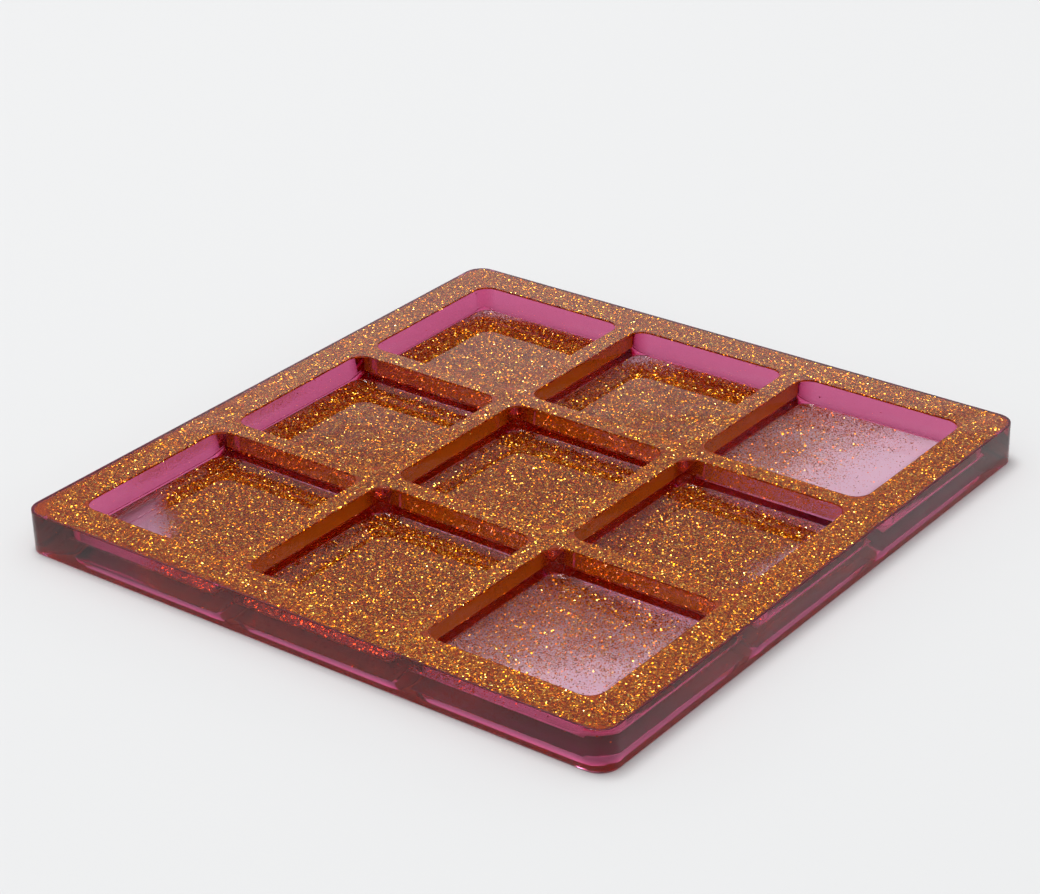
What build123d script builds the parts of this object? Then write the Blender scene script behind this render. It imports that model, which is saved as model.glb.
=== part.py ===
from build123d import *
import os

# A shallow casting mould: one clear tinted slab with a three by three grid of
# square pockets, and the thin layers of fine glitter that settled in it while
# it cured, one under the face of the rim and ribs and one under each pocket floor.
# Millimetres, +Z up. The origin is the centre of the flat underside.

# Outline of the slab
length_x = 150.0
width_y = 155.0
height = 9.4
outer_corner = 4.5
face_edge_round = 0.3
foot_edge_round = 0.8

# Grid of pockets
columns = 3
rows = 3
rim_width = 8.7
rib_width = 4.5
pocket_depth = 6.0
pocket_corner = 3.8

# Settled glitter
glitter_depth = 0.4
clear_margin = 0.6
margin_corner = 7.0

# Sizes that follow from the driving ones
pocket_x = (length_x - 2 * rim_width - (columns - 1) * rib_width) / columns
pocket_y = (width_y - 2 * rim_width - (rows - 1) * rib_width) / rows
pitch_x = pocket_x + rib_width
pitch_y = pocket_y + rib_width
floor_height = height - pocket_depth

column_names = ["left", "centre", "right"]
row_names = ["front", "middle", "rear"]


def pocket_centre(column, row):
    """Centre of one pocket in plan, counted from the front left."""
    x = (column - (columns - 1) / 2) * pitch_x
    y = (row - (rows - 1) / 2) * pitch_y
    return (x, y)


def finish(piece, name):
    """Label a finished piece and write it to its own file."""
    piece.part.label = name
    export_step(piece.part, f"parts/{name}.step")


os.makedirs("parts", exist_ok=True)

# Clear tinted slab. Its face and its pocket floors are recessed by the depth
# of the glitter layers that lie on them.
with BuildPart() as mould_body:
    with BuildSketch(Plane.XY):
        RectangleRounded(length_x, width_y, outer_corner)
    extrude(amount=height)
    fillet(mould_body.edges().group_by(Axis.Z)[0], radius=foot_edge_round)
    fillet(mould_body.edges().group_by(Axis.Z)[-1], radius=face_edge_round)
    with BuildSketch(Plane.XY.offset(height)):
        with GridLocations(pitch_x, pitch_y, columns, rows):
            RectangleRounded(pocket_x, pocket_y, pocket_corner)
    extrude(amount=-(pocket_depth + glitter_depth), mode=Mode.SUBTRACT)
    with BuildSketch(Plane.XY.offset(height)):
        RectangleRounded(length_x - 2 * clear_margin, width_y - 2 * clear_margin, margin_corner)
    extrude(amount=-glitter_depth, mode=Mode.SUBTRACT)
finish(mould_body, "mould_body")

# Glitter under the face of the rim and the ribs, one grid-shaped layer. It
# stops just short of the outer edge and further in at the four corners.
with BuildPart() as face_glitter:
    with BuildSketch(Plane.XY.offset(height - glitter_depth)):
        RectangleRounded(length_x - 2 * clear_margin, width_y - 2 * clear_margin, margin_corner)
        with GridLocations(pitch_x, pitch_y, columns, rows):
            RectangleRounded(pocket_x, pocket_y, pocket_corner, mode=Mode.SUBTRACT)
    extrude(amount=glitter_depth)
finish(face_glitter, "face_glitter")

# Glitter under each pocket floor, one layer to a pocket.
for row, row_name in enumerate(row_names):
    for column, column_name in enumerate(column_names):
        with BuildPart() as floor_glitter:
            with BuildSketch(Plane.XY.offset(floor_height - glitter_depth)):
                with Locations(pocket_centre(column, row)):
                    RectangleRounded(pocket_x, pocket_y, pocket_corner)
            extrude(amount=glitter_depth)
        finish(floor_glitter, f"floor_glitter_{row_name}_{column_name}")
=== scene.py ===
import math
import bpy
import bmesh
import numpy as np
from mathutils import Matrix, Vector


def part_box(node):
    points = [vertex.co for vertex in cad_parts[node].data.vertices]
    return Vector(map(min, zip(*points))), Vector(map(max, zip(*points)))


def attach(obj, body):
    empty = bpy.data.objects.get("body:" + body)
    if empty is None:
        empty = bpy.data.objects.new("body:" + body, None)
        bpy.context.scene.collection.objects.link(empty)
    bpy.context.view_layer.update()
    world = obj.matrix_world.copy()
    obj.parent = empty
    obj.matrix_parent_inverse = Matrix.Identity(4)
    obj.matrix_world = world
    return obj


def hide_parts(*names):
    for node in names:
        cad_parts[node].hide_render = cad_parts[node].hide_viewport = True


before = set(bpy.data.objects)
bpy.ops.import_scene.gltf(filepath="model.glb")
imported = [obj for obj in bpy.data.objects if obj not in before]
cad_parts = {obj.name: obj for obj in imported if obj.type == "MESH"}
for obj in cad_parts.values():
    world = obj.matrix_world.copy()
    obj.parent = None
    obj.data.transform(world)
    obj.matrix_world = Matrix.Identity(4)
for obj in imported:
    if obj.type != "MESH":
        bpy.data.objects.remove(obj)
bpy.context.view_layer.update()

rng = np.random.default_rng(31)

# ---------------------------------------------------------------- sizes, from the frame, in metres

MM = 0.001
body_low, body_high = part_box("mould_body")
face_low, face_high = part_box("face_glitter")
ROWS = ("front", "middle", "rear")
COLUMNS = ("left", "centre", "right")
pocket_boxes = {(row, column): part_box(f"floor_glitter_{row}_{column}") for row in ROWS for column in COLUMNS}

corner_low, corner_high = pocket_boxes["front", "left"]
FACE_Z = face_high[2]
FLOOR_Z = corner_high[2]
HALF_X = (body_high[0] - body_low[0]) / 2
HALF_Y = (body_high[1] - body_low[1]) / 2
POCKET_HALF_X = (corner_high[0] - corner_low[0]) / 2
POCKET_HALF_Y = (corner_high[1] - corner_low[1]) / 2
RIM_WIDTH = corner_low[0] - body_low[0]

# Rounded corners in plan, and the small rounds of the edges round the face and the pockets.
OUTER_CORNER = 4.5 * MM
POCKET_CORNER = 3.8 * MM
FACE_ROUND = 0.12 * MM
LIP_ROUND = 0.03 * MM
FLOOR_ROUND = 0.05 * MM

# The underside is the surface that the casting was poured to. It crept up the sides of the form,
# so the casting stands on a narrow ring, and the surface inside it lies a little higher.
FOOT_ROUND = 0.25 * MM
FOOT_RING = 0.45 * MM
RECESS_DEPTH = 1.02 * MM
RECESS_REACH = 1.6 * MM
RECESS_CORNER = 0.5 * MM

# Each pocket floor looks as if it curved up a little towards its walls. The mesh is level there:
# the curve is a height, stored on the floor, that only the shading follows. It starts at the wall
# with this slope, and is steeper by this share beside the walls that run along X.
CREEP_SLOPE = 0.44
CREEP_REACH = 6.0 * MM
CREEP_POWER = 2.15
CREEP_ALONG_X = 0.35
CREEP_UNEVEN = 0.12

# The rings of a pocket floor have smaller corners further in, by this share of their inset.
CORNER_TIGHTENING = 0.4


def pocket_centre(key):
    """Centre of a pocket in plan."""
    low, high = pocket_boxes[key]
    return ((low[0] + high[0]) / 2, (low[1] + high[1]) / 2)


def pocket_number(key):
    """0 to 8, row by row from the front left, which gives each pocket its own unevenness."""
    return ROWS.index(key[0]) * len(COLUMNS) + COLUMNS.index(key[1])


# ---------------------------------------------------------------- node helpers


def new_material(name):
    """A material with an empty node tree, and that tree."""
    material = bpy.data.materials.new(name)
    material.use_nodes = True
    material.node_tree.nodes.clear()
    return material, material.node_tree


def add(tree, kind, inputs=(), **settings):
    """Add a node, with its settings and the values on its sockets."""
    node = tree.nodes.new(kind)
    for key, value in settings.items():
        setattr(node, key, value)
    for key, value in dict(inputs).items():
        node.inputs[key].default_value = value
    return node


def link(tree, source, output, target, socket):
    """Connect an output of one node to a socket of another."""
    tree.links.new(source.outputs[output], target.inputs[socket])


def set_ramp(ramp, stops):
    """Give a colour ramp its stops, a list of (position, (r, g, b))."""
    elements = ramp.color_ramp.elements
    while len(elements) < len(stops):
        elements.new(0.5)
    for element, (position, colour) in zip(elements, stops):
        element.position = position
        element.color = (*colour, 1)


# ---------------------------------------------------------------- camera

CAMERA_TARGET = Vector((-6.6 * MM, 4.7 * MM, FACE_Z))
CAMERA_DISTANCE = 610.5 * MM
CAMERA_TURN = math.radians(-52.17)
CAMERA_RISE = math.radians(27.08)
CAMERA_ROLL = math.radians(-1.45)
LENS = 97.7


def make_camera():
    """The camera, turned round and lifted from the front, and rolled a little."""
    back = Vector((
        math.cos(CAMERA_RISE) * math.cos(CAMERA_TURN),
        math.cos(CAMERA_RISE) * math.sin(CAMERA_TURN),
        math.sin(CAMERA_RISE),
    ))
    level = Vector((0, 0, 1)).cross(back).normalized()
    up = back.cross(level)
    right = math.cos(CAMERA_ROLL) * level + math.sin(CAMERA_ROLL) * up
    up = back.cross(right)
    data = bpy.data.cameras.new("camera")
    data.lens = LENS
    data.sensor_width = 36.0
    data.clip_start = 0.01
    data.clip_end = 50.0
    camera = bpy.data.objects.new("camera", data)
    bpy.context.scene.collection.objects.link(camera)
    turn = Matrix((right, up, back)).transposed().to_4x4()
    camera.matrix_world = Matrix.Translation(CAMERA_TARGET + back * CAMERA_DISTANCE) @ turn
    bpy.context.scene.camera = camera


make_camera()

# ---------------------------------------------------------------- materials


def resin_material():
    """Clear magenta casting, with the long slow waves of a poured surface and curved pocket floors."""
    material, tree = new_material("tinted_clear_casting")
    out = add(tree, "ShaderNodeOutputMaterial")
    clear = add(tree, "ShaderNodeBsdfPrincipled", {
        "Base Color": (1, 1, 1, 1), "Roughness": 0.02, "IOR": 1.42, "Transmission Weight": 1.0,
    })
    where = add(tree, "ShaderNodeTexCoord")
    waves = add(tree, "ShaderNodeTexNoise", {"Scale": 110.0, "Detail": 1.0})
    bump = add(tree, "ShaderNodeBump", {"Strength": 1.0, "Distance": 0.05 * MM})
    link(tree, where, "Object", waves, "Vector")
    link(tree, waves, 0, bump, "Height")
    creep = add(tree, "ShaderNodeAttribute", attribute_name="creep")
    curve = add(tree, "ShaderNodeBump", {"Strength": 1.0, "Distance": 1.0})
    link(tree, creep, "Fac", curve, "Height")
    link(tree, bump, "Normal", curve, "Normal")
    link(tree, curve, "Normal", clear, "Normal")
    absorb = add(tree, "ShaderNodeVolumeAbsorption", {"Color": (0.81, 0.06, 0.43, 1), "Density": 200.0})
    link(tree, clear, 0, out, "Surface")
    link(tree, absorb, 0, out, "Volume")
    return material


def sheet_material(
    name, painted_light_where_clear, dark=(0.40, 0.035, 0.0005), light=(0.92, 0.20, 0.002),
    through=0.4, fineness=5000.0, metallic=0.6
):
    """Packed fine glitter: each small cell is a flake with its own gold. Where the glitter is thin, the gaps
    show painted light: a pale diffuse colour for the light that comes back up from the table through the clear
    resin.
    """
    material, tree = new_material(name)
    out = add(tree, "ShaderNodeOutputMaterial")
    where = add(tree, "ShaderNodeTexCoord")
    cells = add(tree, "ShaderNodeTexVoronoi", {"Scale": fineness})
    ramp = add(tree, "ShaderNodeValToRGB")
    set_ramp(ramp, [(0.25, dark), (0.85, light)])
    metal = add(tree, "ShaderNodeBsdfPrincipled", {"Metallic": metallic, "Roughness": 0.45})
    glow = add(tree, "ShaderNodeBsdfTranslucent", {"Color": (*light, 1)})
    packed = add(tree, "ShaderNodeMixShader", {"Fac": through})
    link(tree, where, "Object", cells, "Vector")
    link(tree, cells, "Color", ramp, "Fac")
    link(tree, ramp, "Color", metal, "Base Color")
    link(tree, metal, 0, packed, 1)
    link(tree, glow, 0, packed, 2)
    clear = add(tree, "ShaderNodeBsdfTransparent")
    # Painted light: the pale diffuse colour in the gaps stands in for light that comes back up from the table
    # through the clear resin.
    painted_light_gaps = add(tree, "ShaderNodeBsdfDiffuse", {"Color": (0.97, 0.78, 0.88, 1)})
    gaps = add(tree, "ShaderNodeMixShader")
    amount = add(tree, "ShaderNodeAttribute", attribute_name="glitter")
    # The thinner the glitter, the more of the gaps show this painted light.
    painted_light_share = add(tree, "ShaderNodeMapRange", {
        "From Min": 0.2, "From Max": 0.8, "To Min": painted_light_where_clear, "To Max": 0.0,
    })
    link(tree, amount, "Fac", painted_light_share, "Value")
    link(tree, painted_light_share, 0, gaps, 0)
    grain = add(tree, "ShaderNodeTexVoronoi", {"Scale": 1.3 * fineness})
    split = add(tree, "ShaderNodeSeparateColor")
    fill = add(tree, "ShaderNodeMath", operation="LESS_THAN")
    mix = add(tree, "ShaderNodeMixShader")
    link(tree, clear, 0, gaps, 1)
    link(tree, painted_light_gaps, 0, gaps, 2)
    link(tree, where, "Object", grain, "Vector")
    link(tree, grain, "Color", split, 0)
    link(tree, split, 0, fill, 0)
    link(tree, amount, "Fac", fill, 1)
    link(tree, fill, 0, mix, 0)
    link(tree, gaps, 0, mix, 1)
    link(tree, packed, 0, mix, 2)
    link(tree, mix, 0, out, "Surface")
    return material


def flake_material():
    """Gold foil, from copper to pale gold by the tone of each flake."""
    material, tree = new_material("gold_flakes")
    out = add(tree, "ShaderNodeOutputMaterial")
    tone = add(tree, "ShaderNodeAttribute", attribute_name="tone")
    ramp = add(tree, "ShaderNodeValToRGB")
    set_ramp(ramp, [
        (0.0, (0.62, 0.12, 0.001)), (0.45, (0.95, 0.37, 0.008)),
        (0.8, (1.0, 0.70, 0.13)), (1.0, (1.0, 0.90, 0.42)),
    ])
    metal = add(tree, "ShaderNodeBsdfPrincipled", {"Metallic": 1.0, "Roughness": 0.2})
    link(tree, tone, "Fac", ramp, "Fac")
    link(tree, ramp, "Color", metal, "Base Color")
    link(tree, metal, 0, out, "Surface")
    return material


def table_material():
    """Matt pale table top."""
    material, tree = new_material("pale_table")
    out = add(tree, "ShaderNodeOutputMaterial")
    base = add(tree, "ShaderNodeBsdfPrincipled", {
        "Base Color": (0.64, 0.645, 0.645, 1), "Roughness": 0.9, "Specular IOR Level": 0.2,
    })
    link(tree, base, 0, out, "Surface")
    return material


RIPPLE_X = 5.1 * MM
RIPPLE_Y = 6.3 * MM
RIPPLE_RISING = 3.1 * MM
RIPPLE_FALLING = 4.3 * MM
RIPPLE_FINE_SHARE = 0.6


def ripple(x, y, seed):
    """Slow uneven variation between about -1 and 1, the same for the same seed."""
    coarse = np.sin(x / RIPPLE_X + 1.7 * seed) * np.sin(y / RIPPLE_Y + 2.9 * seed)
    fine = np.sin((x + y) / RIPPLE_RISING + 4.1 * seed) * np.sin((x - y) / RIPPLE_FALLING + 0.7 * seed)
    return (coarse + RIPPLE_FINE_SHARE * fine) / (1 + RIPPLE_FINE_SHARE)


# ---------------------------------------------------------------- casting mesh

SIGNS = ((1, 1), (-1, 1), (-1, -1), (1, -1))
CORNER_STEPS = 10
FOOT_STEPS = 3
FACE_STEPS = 4
LIP_STEPS = 2
FLOOR_STEPS = 3
CREEP_STEPS = 24


def rounded_loop(cx, cy, half_x, half_y, radius, z):
    """Counter-clockwise points of a rounded rectangle, always the same number of them."""
    points = []
    for side, (sx, sy) in enumerate(SIGNS):
        for step in range(CORNER_STEPS + 1):
            angle = math.pi / 2 * (side + step / CORNER_STEPS)
            points.append((
                cx + sx * (half_x - radius) + radius * math.cos(angle),
                cy + sy * (half_y - radius) + radius * math.sin(angle),
                z,
            ))
    return points


def add_loop(mesh, points):
    """Add a loop of points to a mesh, and give back its vertices."""
    return [mesh.verts.new(p) for p in points]


def bridge(mesh, first, second):
    """Quads between two loops of the same length; the faces look to the right of the way up."""
    count = len(first)
    for i in range(count):
        j = (i + 1) % count
        mesh.faces.new((first[i], first[j], second[j], second[i]))


def object_from(mesh, name, material):
    """Turn a bmesh into an object in the scene."""
    data = bpy.data.meshes.new(name)
    mesh.to_mesh(data)
    mesh.free()
    data.materials.append(material)
    piece = bpy.data.objects.new(name, data)
    bpy.context.scene.collection.objects.link(piece)
    return piece


def growing_steps(first, growth, last):
    """Distances that start at 0 and grow apart, for a curve that is steep at its start."""
    distance = 0.0
    while distance < last:
        yield distance
        distance += first + distance * growth


def foot_profile():
    """(inset, height) of the underside, from the side wall to the flat middle."""
    for step in range(FOOT_STEPS + 1):
        angle = math.pi / 2 * step / FOOT_STEPS
        yield FOOT_ROUND * (1 - math.cos(angle)), FOOT_ROUND * (1 - math.sin(angle))
    for inset in growing_steps(first=0.1 * MM, growth=0.12, last=7 * RECESS_REACH):
        yield FOOT_RING + inset, RECESS_DEPTH * (1 - math.exp(-inset / RECESS_REACH))


def creep_fall(distance):
    """Height of the shading's curve at a distance from the wall: 0 at the wall, and negative further in."""
    left = 1 - min(distance / CREEP_REACH, 1)
    return CREEP_SLOPE * CREEP_REACH / CREEP_POWER * (left ** CREEP_POWER - 1)


def y_share(x, y, inset):
    """1 beside a wall that runs along X, 0 beside one that runs along Y, and between them in a corner."""
    past_x = max(abs(x) - (POCKET_HALF_X - inset - POCKET_CORNER), 0)
    past_y = max(abs(y) - (POCKET_HALF_Y - inset - POCKET_CORNER), 0)
    if past_x == 0:
        return 1.0
    if past_y == 0:
        return 0.0
    return past_y ** 2 / (past_x ** 2 + past_y ** 2)


def add_outside(mesh):
    """The underside and the side walls. Gives back the loop where the face begins."""
    loops = []
    for inset, z in reversed(list(foot_profile())):
        radius = max(OUTER_CORNER - inset, RECESS_CORNER)
        loops.append(add_loop(mesh, rounded_loop(0, 0, HALF_X - inset, HALF_Y - inset, radius, z)))
    for step in range(FACE_STEPS + 1):
        angle = math.pi / 2 * step / FACE_STEPS
        inset = FACE_ROUND * (1 - math.cos(angle))
        z = FACE_Z - FACE_ROUND * (1 - math.sin(angle))
        ring = rounded_loop(0, 0, HALF_X - inset, HALF_Y - inset, OUTER_CORNER - inset, z)
        loops.append(add_loop(mesh, ring))
    for low, high in zip(loops, loops[1:]):
        bridge(mesh, low, high)
    mesh.faces.new(list(reversed(loops[0])))
    return loops[-1]


def wall_profile():
    """(outset, height) of a pocket's wall, from the face over the lip and down to the floor."""
    for step in range(LIP_STEPS + 1):
        angle = math.pi / 2 * step / LIP_STEPS
        yield LIP_ROUND * (1 - math.sin(angle)), FACE_Z - LIP_ROUND * (1 - math.cos(angle))
    for step in range(FLOOR_STEPS + 1):
        angle = math.pi / 2 * step / FLOOR_STEPS
        yield -FLOOR_ROUND * (1 - math.cos(angle)), FLOOR_Z + FLOOR_ROUND * (1 - math.sin(angle))


def add_pocket(mesh, creep, key):
    """One pocket with its floor. Gives back the loop where its lip meets the face."""
    cx, cy = pocket_centre(key)
    loops = []
    for out, z in wall_profile():
        ring = rounded_loop(cx, cy, POCKET_HALF_X + out, POCKET_HALF_Y + out, POCKET_CORNER + out, z)
        loops.append(add_loop(mesh, ring))
    for step in range(1, CREEP_STEPS + 1):
        inset = FLOOR_ROUND + CREEP_REACH * step / CREEP_STEPS
        radius = POCKET_CORNER - CORNER_TIGHTENING * inset
        ring = rounded_loop(cx, cy, POCKET_HALF_X - inset, POCKET_HALF_Y - inset, radius, FLOOR_Z)
        loops.append(add_loop(mesh, ring))
    for high, low in zip(loops, loops[1:]):
        bridge(mesh, high, low)
    seed = 20 + pocket_number(key)
    for step, ring in enumerate(loops[-CREEP_STEPS:], 1):
        inset = CREEP_REACH * step / CREEP_STEPS
        for vert in ring:
            x, y = vert.co.x, vert.co.y
            stretch = 1 + CREEP_ALONG_X * y_share(x - cx, y - cy, inset)
            uneven = 1 + CREEP_UNEVEN * float(ripple(x, y, seed))
            vert[creep] = creep_fall(inset) * stretch * uneven
    middle = min(vert[creep] for vert in loops[-1])
    for vert in loops[-1]:
        vert[creep] = middle
    mesh.faces.new(loops[-1])
    return loops[0]


def make_casting(material):
    """The whole clear casting as one closed mesh."""
    mesh = bmesh.new()
    creep = mesh.verts.layers.float.new("creep")
    face_rings = [add_outside(mesh)]
    for key in pocket_boxes:
        face_rings.append(add_pocket(mesh, creep, key))
    edges = []
    for ring in face_rings:
        for i, vert in enumerate(ring):
            edges.append(mesh.edges.get((vert, ring[(i + 1) % len(ring)])))
    bmesh.ops.triangle_fill(mesh, use_beauty=True, use_dissolve=False, edges=edges, normal=(0, 0, 1))
    bmesh.ops.recalc_face_normals(mesh, faces=mesh.faces)
    piece = object_from(mesh, "tinted_casting", material)
    piece.data.set_sharp_from_angle(angle=math.radians(30))
    # Level faces are flat, so that the rounds beside them don't tilt their shading.
    for face in piece.data.polygons:
        face.use_smooth = abs(face.normal.z) < 0.999
    return piece


# ---------------------------------------------------------------- how the glitter settled


def smooth(value):
    """0 below 0, 1 above 1, and an even S between them."""
    value = np.clip(value, 0, 1)
    return value * value * (3 - 2 * value)


# Glitter thins out towards the outer edge, and there are no flakes at the tips of the four corners:
# none further than this from a point well inside the corner.
EDGE_FADE = 1.2 * MM
CORNER_INSET = 10 * MM
CORNER_REACH = 12 * MM
FRONT_LEFT_REACH = 10 * MM
CORNER_FADE = 3 * MM


def from_edge(x, y):
    """Distance in from the outline of the face, which has rounded corners."""
    past_x = np.abs(x) - (HALF_X - OUTER_CORNER)
    past_y = np.abs(y) - (HALF_Y - OUTER_CORNER)
    past_corner = np.hypot(np.maximum(past_x, 0), np.maximum(past_y, 0))
    return OUTER_CORNER - past_corner - np.minimum(np.maximum(past_x, past_y), 0)


def face_amount(x, y):
    """Share of the face that glitter covers, at places on the rim and ribs."""
    past_x = np.maximum(np.abs(x) - HALF_X + CORNER_INSET, 0)
    past_y = np.maximum(np.abs(y) - HALF_Y + CORNER_INSET, 0)
    reach = np.where((x < 0) & (y < 0), FRONT_LEFT_REACH, CORNER_REACH)
    corner = reach - np.hypot(past_x, past_y)
    return smooth(from_edge(x, y) / EDGE_FADE) * smooth(corner / CORNER_FADE + 0.2 * ripple(x, y, 1))


def face_bed_amount(x, y):
    """Cover of the finest glitter on the face, which reaches all the way into the corners."""
    return smooth(from_edge(x, y) / EDGE_FADE)


# For the pockets where the floor isn't covered all over: the cover, the side or corner that stayed
# clear, as signs along X and Y, how far the clear patch reaches in from there, and over what
# distance the cover thins out.
FULL_COVER = 0.93
UNEVEN_FLOORS = {
    ("front", "left"): (0.90, (-1, -1), 26 * MM, 12 * MM),
    ("front", "right"): (0.60, (1, -1), 36 * MM, 60 * MM),
    ("middle", "right"): (0.84, (1, 0), 5 * MM, 12 * MM),
    ("rear", "right"): (0.46, (1, 0), 22 * MM, 34 * MM),
    ("rear", "centre"): (0.88, (-1, 1), 9 * MM, 24 * MM),
    ("rear", "left"): (0.88, (-1, 1), 9 * MM, 22 * MM),
}


def floor_amount(key):
    """Share of one pocket's floor that glitter covers, as a function of place."""
    cx, cy = pocket_centre(key)
    cover, (side_x, side_y), reach, fade = UNEVEN_FLOORS.get(key, (FULL_COVER, (1, 1), 0, 1))
    seed = 2 + pocket_number(key)

    def amount(x, y):
        from_x = POCKET_HALF_X - side_x * (x - cx)
        from_y = POCKET_HALF_Y - side_y * (y - cy)
        inward = abs(side_x) * from_x + abs(side_y) * from_y
        uneven = ripple(x, y, seed)
        if not reach:
            return np.full(x.shape, cover) + 0.05 * uneven
        return (cover + 0.06 * uneven) * smooth((inward - reach + 3 * MM * uneven) / fade + 0.5)

    return amount


# ---------------------------------------------------------------- glitter pieces

FLAKE = 0.155 * MM
FLAKE_SIDES = 6
FLAKE_SIZES = (0.7, 1.25)
STEEPEST = math.radians(80)
BED_DEPTH = 0.42 * MM
SHEET_STEP = 1.0 * MM
CURTAIN_COLUMNS = 60
CURTAIN_ROWS = 8


def sheet_object(name, points, faces, amount, material):
    """A thin open mesh whose cover of glitter is stored at each point."""
    data = bpy.data.meshes.new(name)
    data.from_pydata(points.tolist(), [], [tuple(int(v) for v in face) for face in faces])
    data.attributes.new("glitter", "FLOAT", "POINT").data.foreach_set("value", amount.astype(np.float32))
    data.materials.append(material)
    piece = bpy.data.objects.new(name, data)
    bpy.context.scene.collection.objects.link(piece)
    return piece


def stations(low, high, breaks):
    """Places about a step apart from low to high, with one at each break."""
    ends = [low, *sorted(breaks), high]
    places = [low]
    for a, b in zip(ends, ends[1:]):
        count = max(round((b - a) / SHEET_STEP), 1)
        places.extend(a + (b - a) * (k + 1) / count for k in range(count))
    return np.array(places)


def fill_round_corner(plan, faces, centre, signs, radii):
    """Add the points and faces of a quarter disc, ring by ring from its centre."""
    first = len(plan)
    row = CORNER_STEPS + 1
    plan.append(centre)
    for radius in radii:
        for step in range(row):
            angle = math.pi / 2 * step / CORNER_STEPS
            plan.append((
                centre[0] + signs[0] * radius * math.cos(angle),
                centre[1] + signs[1] * radius * math.sin(angle),
            ))
    upward = signs[0] * signs[1]
    for k in range(CORNER_STEPS):
        faces.append((first, first + 1 + k, first + 2 + k)[::upward])
        for ring in range(len(radii) - 1):
            a = first + 1 + ring * row + k
            faces.append((a, a + row, a + row + 1, a + 1)[::upward])


def make_sheet(name, low, high, z, material, amount_of, holes=(), corner=0.0):
    """A thin sheet of packed glitter under a surface, open at its round-cornered holes.

    Its own corners are rounded by the radius given as corner.
    """
    x_breaks = {round(v, 9) for hole in holes for v in (hole[0][0], hole[1][0])}
    y_breaks = {round(v, 9) for hole in holes for v in (hole[0][1], hole[1][1])}
    if corner:
        x_breaks |= {low[0] + corner, high[0] - corner}
        y_breaks |= {low[1] + corner, high[1] - corner}
    xs = stations(low[0], high[0], x_breaks)
    ys = stations(low[1], high[1], y_breaks)
    gx, gy = np.meshgrid(xs, ys, indexing="ij")
    index = np.arange(gx.size).reshape(gx.shape)
    faces = []
    for i in range(len(xs) - 1):
        for j in range(len(ys) - 1):
            mx, my = (xs[i] + xs[i + 1]) / 2, (ys[j] + ys[j + 1]) / 2
            if any(a[0] < mx < b[0] and a[1] < my < b[1] for a, b in holes):
                continue
            in_x = min(mx - low[0], high[0] - mx) < corner
            in_y = min(my - low[1], high[1] - my) < corner
            if in_x and in_y:
                continue
            faces.append((index[i, j], index[i + 1, j], index[i + 1, j + 1], index[i, j + 1]))
    plan = list(zip(gx.ravel(), gy.ravel()))
    if corner:
        for sx, sy in SIGNS:
            centre_x = high[0] - corner if sx > 0 else low[0] + corner
            centre_y = high[1] - corner if sy > 0 else low[1] + corner
            radii = (0.4 * corner, corner - EDGE_FADE, corner - 0.5 * EDGE_FADE, corner)
            fill_round_corner(plan, faces, (centre_x, centre_y), (sx, sy), radii)
    for a, b in holes:
        for sx, sy in SIGNS:
            tip = (b[0] if sx > 0 else a[0], b[1] if sy > 0 else a[1])
            first = len(plan)
            plan.append(tip)
            for step in range(CORNER_STEPS + 1):
                angle = math.pi / 2 * step / CORNER_STEPS
                plan.append((
                    tip[0] - sx * POCKET_CORNER * (1 - math.cos(angle)),
                    tip[1] - sy * POCKET_CORNER * (1 - math.sin(angle)),
                ))
            faces.extend((first, first + k + 1, first + k)[::sx * sy] for k in range(1, CORNER_STEPS + 1))
    plan = np.array(plan)
    points = np.column_stack([plan, np.full(len(plan), z)])
    return sheet_object(name, points, faces, amount_of(plan[:, 0], plan[:, 1]), material)


def make_curtain(name, start, end, low_z, high_z, material, amount_of):
    """A thin upright sheet of hanging glitter between two places in plan."""
    along = np.linspace(0, 1, CURTAIN_COLUMNS + 1)
    zs = np.linspace(low_z, high_z, CURTAIN_ROWS + 1)
    ga, gz = np.meshgrid(along, zs, indexing="ij")
    gx = start[0] + ga * (end[0] - start[0])
    gy = start[1] + ga * (end[1] - start[1])
    index = np.arange(ga.size).reshape(ga.shape)
    faces = []
    for i in range(CURTAIN_COLUMNS):
        for j in range(CURTAIN_ROWS):
            faces.append((index[i, j], index[i + 1, j], index[i + 1, j + 1], index[i, j + 1]))
    points = np.stack([gx.ravel(), gy.ravel(), gz.ravel()], 1)
    return sheet_object(name, points, faces, amount_of(gx, gy, gz).ravel(), material)


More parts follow.
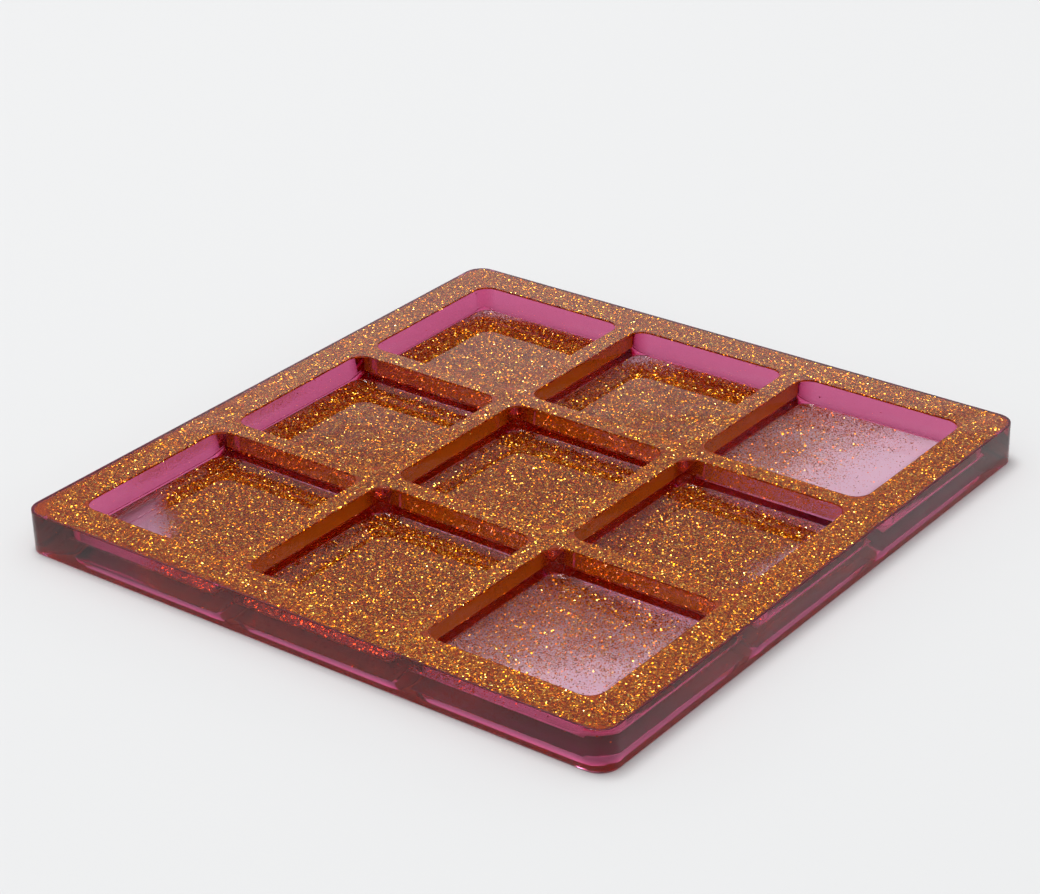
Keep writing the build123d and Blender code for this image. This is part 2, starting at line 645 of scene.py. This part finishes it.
def make_flakes(name, x, y, z, tilt, material):
    """Separate six-sided flakes with their upper rims at height z, each with its own lie, size and tone."""
    count = len(x)
    turn = rng.uniform(0, 2 * math.pi, count)
    lean_way = rng.uniform(0, 2 * math.pi, count)
    lean = np.minimum(np.abs(rng.normal(0, tilt, count)), STEEPEST)
    radius = FLAKE * rng.uniform(*FLAKE_SIZES, count)
    normal = np.stack([np.sin(lean) * np.cos(lean_way), np.sin(lean) * np.sin(lean_way), np.cos(lean)], 1)
    side = np.cross(normal, np.stack([np.cos(turn), np.sin(turn), np.zeros(count)], 1))
    side /= np.linalg.norm(side, axis=1)[:, None]
    across = np.cross(normal, side)
    centre = np.stack([x, y, z - radius * np.sin(lean)], 1)
    corners = []
    for k in range(FLAKE_SIDES):
        angle = 2 * math.pi * k / FLAKE_SIDES
        corners.append(centre + radius[:, None] * (math.cos(angle) * side + math.sin(angle) * across))
    points = np.stack(corners, 1).reshape(-1, 3)
    data = bpy.data.meshes.new(name)
    data.vertices.add(count * FLAKE_SIDES)
    data.vertices.foreach_set("co", points.astype(np.float32).ravel())
    data.loops.add(count * FLAKE_SIDES)
    data.loops.foreach_set("vertex_index", np.arange(count * FLAKE_SIDES, dtype=np.int32))
    data.polygons.add(count)
    starts = np.arange(0, count * FLAKE_SIDES, FLAKE_SIDES, dtype=np.int32)
    data.polygons.foreach_set("loop_start", starts)
    data.update(calc_edges=True)
    # Tones from 0 to 1, with more dark flakes than pale ones.
    tone = rng.beta(1.4, 2.2, count)
    data.attributes.new("tone", "FLOAT", "FACE").data.foreach_set("value", tone.astype(np.float32))
    data.materials.append(material)
    piece = bpy.data.objects.new(name, data)
    bpy.context.scene.collection.objects.link(piece)
    return piece


def scatter(count, low, high, amount_of):
    """Random places in a box in plan, thinned by the cover wanted there."""
    x = rng.uniform(low[0], high[0], count)
    y = rng.uniform(low[1], high[1], count)
    chosen = rng.uniform(0, 1, count) < amount_of(x, y)
    return x[chosen], y[chosen]


def on_face(x, y):
    """Cover of the face, and nothing over a pocket."""
    amount = face_amount(x, y)
    for low, high in pocket_boxes.values():
        amount = np.where((x > low[0]) & (x < high[0]) & (y > low[1]) & (y < high[1]), 0, amount)
    return amount


resin = resin_material()
# The second number is how much painted light, a pale diffuse colour, fills the gaps where the glitter is thin.
face_sheet = sheet_material("packed_gold_glitter", 0.25)
floor_sheet = sheet_material("packed_gold_glitter_in_painted_light", 0.92)
clear_floor_sheet = sheet_material("packed_gold_glitter_in_thin_painted_light", 0.1)
cloud_sheet = sheet_material(
    "gold_glitter_cloud", 0.0, dark=(0.95, 0.34, 0.002), light=(1.0, 0.50, 0.006),
    through=0.5, fineness=9000.0, metallic=0.0
)
# Pale gold and almost all see-through: partly glitter, partly painted light for the light that comes in from
# behind through the clear outer wall.
painted_backlight_sheet = sheet_material(
    "gold_dust_with_painted_backlight", 0.0, dark=(1.0, 0.70, 0.15), light=(1.0, 0.82, 0.24),
    through=0.95, fineness=9000.0, metallic=0.0
)
flake = flake_material()

casting = make_casting(resin)
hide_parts("mould_body")
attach(casting, "root")

SETTLED_TILT = math.radians(22)
STRAY_TILT = math.radians(50)
LAYER = 0.2 * MM
SKIN = 0.03 * MM
FACE_TRIES = 150000
FLOOR_TRIES = 20000


def settled(x, surface):
    """Heights of flakes that settled in a thin layer just under a surface."""
    return surface - SKIN - rng.uniform(0, LAYER, len(x))


def place(piece):
    """Fix a piece of glitter to the casting."""
    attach(piece, "root")


face_bed = make_sheet(
    "face_glitter_bed", face_low, face_high, FACE_Z - BED_DEPTH, face_sheet, face_bed_amount,
    list(pocket_boxes.values()), OUTER_CORNER - (HALF_X - face_high[0])
)
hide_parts("face_glitter")
place(face_bed)
for side in ("upper", "lower"):
    x, y = scatter(FACE_TRIES, face_low, face_high, on_face)
    place(make_flakes(f"face_glitter_{side}_flakes", x, y, settled(x, FACE_Z), SETTLED_TILT, flake))

for key, (low, high) in pocket_boxes.items():
    amount = floor_amount(key)
    name = "_".join(key)
    material = clear_floor_sheet if key == ("front", "left") else floor_sheet
    bed = make_sheet(f"floor_bed_{name}", low, high, FLOOR_Z - BED_DEPTH, material, amount)
    x, y = scatter(FLOOR_TRIES, low, high, amount)
    bits = make_flakes(f"floor_flakes_{name}", x, y, settled(x, FLOOR_Z), SETTLED_TILT, flake)
    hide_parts(f"floor_glitter_{name}")
    place(bed)
    place(bits)

# Glitter that hangs deeper in the casting: an upright cloud of the finest glitter in each rib and in
# the left rim, and single stray flakes. The cloud in the left rim is pale gold and almost all see-through:
# partly glitter, partly painted light for the light that comes in from behind through the clear outer wall.
RIB_CLOUD_DEPTH = 4.9 * MM
COVER_ALONG_X = 0.62
COVER_ALONG_Y = 0.97
COVER_AT_CROSSING = 0.3
CROSSING_REACH = 2 * MM
CROSSING_FADE = 4 * MM
RIM_CLOUD_DEPTH = 6.3 * MM
RIM_CLOUD_INSET = 4.5 * MM
RIM_CLOUD_FRONT = -56 * MM
RIM_CLOUD_REAR = 10 * MM
RIM_CLOUD_COVER = 0.42
RIM_FRONT_FADE = 12 * MM
RIM_REAR_FADE = 14 * MM
RIM_FOOT_FADE = 3 * MM
LOWEST_STRAY = 1.5 * MM

rib_x = (pocket_boxes["front", "centre"][1][0] + pocket_boxes["front", "right"][0][0]) / 2
rib_y = (pocket_boxes["middle", "left"][1][1] + pocket_boxes["rear", "left"][0][1]) / 2


def inside_ribs(x, y):
    """Cover of the face over the ribs, clear of the walls by a flake, and 0 elsewhere."""
    inner_x = pocket_boxes["front", "right"][0][0] - FLAKE
    inner_y = pocket_boxes["rear", "left"][0][1] - FLAKE
    return np.where((np.abs(x) < inner_x) & (np.abs(y) < inner_y), on_face(x, y), 0)


def make_strays(name, count, amount_of, mean_depth):
    """Flakes that hang at random in the thickness of the casting, most of them near its face."""
    x, y = scatter(count, body_low, body_high, amount_of)
    depth = np.minimum(rng.exponential(mean_depth, len(x)), FACE_Z - LOWEST_STRAY)
    strays = make_flakes(name, x, y, FACE_Z - SKIN - depth, STRAY_TILT, flake)
    place(strays)


def rib_cloud(x, y, z):
    """Cover of the fine glitter in the ribs, which thins out where two ribs cross."""
    from_rib_along_y = np.abs(np.abs(x) - rib_x)
    from_rib_along_x = np.abs(np.abs(y) - rib_y)
    from_crossing = np.maximum(from_rib_along_y, from_rib_along_x)
    cover = np.where(from_rib_along_y < from_rib_along_x, COVER_ALONG_Y, COVER_ALONG_X)
    clear = smooth((from_crossing - CROSSING_REACH) / CROSSING_FADE)
    return (cover + 0.12 * ripple(x + z, y - z, 40)) * (COVER_AT_CROSSING + (1 - COVER_AT_CROSSING) * clear)


def rim_cloud(x, y, z):
    """Cover of the pale glitter cloud in the left rim, partly painted backlight, which thins out at both ends
    and towards its foot.
    """
    front = smooth((y - RIM_CLOUD_FRONT) / RIM_FRONT_FADE)
    rear = smooth((RIM_CLOUD_REAR - y) / RIM_REAR_FADE)
    foot = smooth((z - FACE_Z + RIM_CLOUD_DEPTH) / RIM_FOOT_FADE)
    return RIM_CLOUD_COVER * front * rear * foot * (0.9 + 0.2 * ripple(y, z, 41))


reach_x = HALF_X - RIM_WIDTH
reach_y = HALF_Y - RIM_WIDTH
high_z = FACE_Z - BED_DEPTH
for name, start, end in (
    ("left", (-rib_x, -reach_y), (-rib_x, reach_y)),
    ("right", (rib_x, -reach_y), (rib_x, reach_y)),
    ("front", (-reach_x, -rib_y), (reach_x, -rib_y)),
    ("rear", (-reach_x, rib_y), (reach_x, rib_y)),
):
    low_z = FACE_Z - RIB_CLOUD_DEPTH
    place(make_curtain(f"glitter_cloud_in_{name}_rib", start, end, low_z, high_z, cloud_sheet, rib_cloud))

rim_x = RIM_CLOUD_INSET - HALF_X
place(make_curtain(
    "glitter_cloud_with_painted_backlight_in_left_rim", (rim_x, RIM_CLOUD_FRONT), (rim_x, RIM_CLOUD_REAR),
    FACE_Z - RIM_CLOUD_DEPTH, high_z, painted_backlight_sheet, rim_cloud
))
make_strays("stray_flakes_in_ribs", count=5000, amount_of=inside_ribs, mean_depth=2.2 * MM)
make_strays("stray_flakes_in_rim", count=900, amount_of=on_face, mean_depth=2.5 * MM)

# ---------------------------------------------------------------- table and light

TABLE_RADIUS = 4.0
TABLE_GAP = 0.05 * MM

mesh = bmesh.new()
bmesh.ops.create_circle(mesh, cap_ends=True, radius=TABLE_RADIUS, segments=96)
table = object_from(mesh, "table", table_material())
table.location.z = -TABLE_GAP


def softbox(name, azimuth, elevation, distance, size, power):
    """A round soft lamp that looks at the origin from the given direction."""
    data = bpy.data.lights.new(name, "AREA")
    data.shape = "DISK"
    data.size = size
    data.energy = power
    lamp = bpy.data.objects.new(name, data)
    a, e = math.radians(azimuth), math.radians(elevation)
    way = Vector((math.cos(e) * math.cos(a), math.cos(e) * math.sin(a), math.sin(e)))
    lamp.location = way * distance
    lamp.rotation_mode = "QUATERNION"
    lamp.rotation_quaternion = way.to_track_quat("Z", "Y")
    bpy.context.scene.collection.objects.link(lamp)


softbox("overhead_softbox", azimuth=165, elevation=80, distance=2.6, size=1.05, power=38.0)


def make_world():
    """A pale room: bright up to about 26 degrees above the table, dimmer above that, and bright overhead."""
    world = bpy.data.worlds.new("studio")
    world.use_nodes = True
    tree = world.node_tree
    tree.nodes.clear()
    out = add(tree, "ShaderNodeOutputWorld")
    back = add(tree, "ShaderNodeBackground")
    where = add(tree, "ShaderNodeTexCoord")
    parts = add(tree, "ShaderNodeSeparateXYZ")
    # The ramp runs over the sine of the elevation, and the side it is viewed from is a little brighter.
    height = add(tree, "ShaderNodeValToRGB")
    set_ramp(height, [
        (0.0, (0.72, 0.72, 0.73)), (0.38, (0.92, 0.92, 0.93)), (0.435, (0.86, 0.86, 0.87)),
        (0.455, (0.37, 0.37, 0.38)), (0.56, (0.33, 0.33, 0.34)), (0.70, (0.62, 0.62, 0.63)),
        (0.85, (1.05, 1.05, 1.06)),
    ])
    open_side = add(tree, "ShaderNodeVectorMath", operation="DOT_PRODUCT")
    open_side.inputs[1].default_value = (math.cos(CAMERA_TURN), math.sin(CAMERA_TURN), 0)
    strength = add(tree, "ShaderNodeMapRange", {
        "From Min": -0.1, "From Max": 0.8, "To Min": 1.0, "To Max": 1.15,
    })
    link(tree, where, "Generated", parts, 0)
    link(tree, where, "Generated", open_side, 0)
    link(tree, parts, "Z", height, "Fac")
    link(tree, open_side, "Value", strength, "Value")
    link(tree, height, "Color", back, "Color")
    link(tree, strength, 0, back, "Strength")
    link(tree, back, 0, out, "Surface")
    bpy.context.scene.world = world


make_world()

scene = bpy.context.scene
scene.view_settings.view_transform = "Standard"
scene.cycles.max_bounces = 20
scene.cycles.transmission_bounces = 16
scene.cycles.glossy_bounces = 8
scene.cycles.transparent_max_bounces = 16
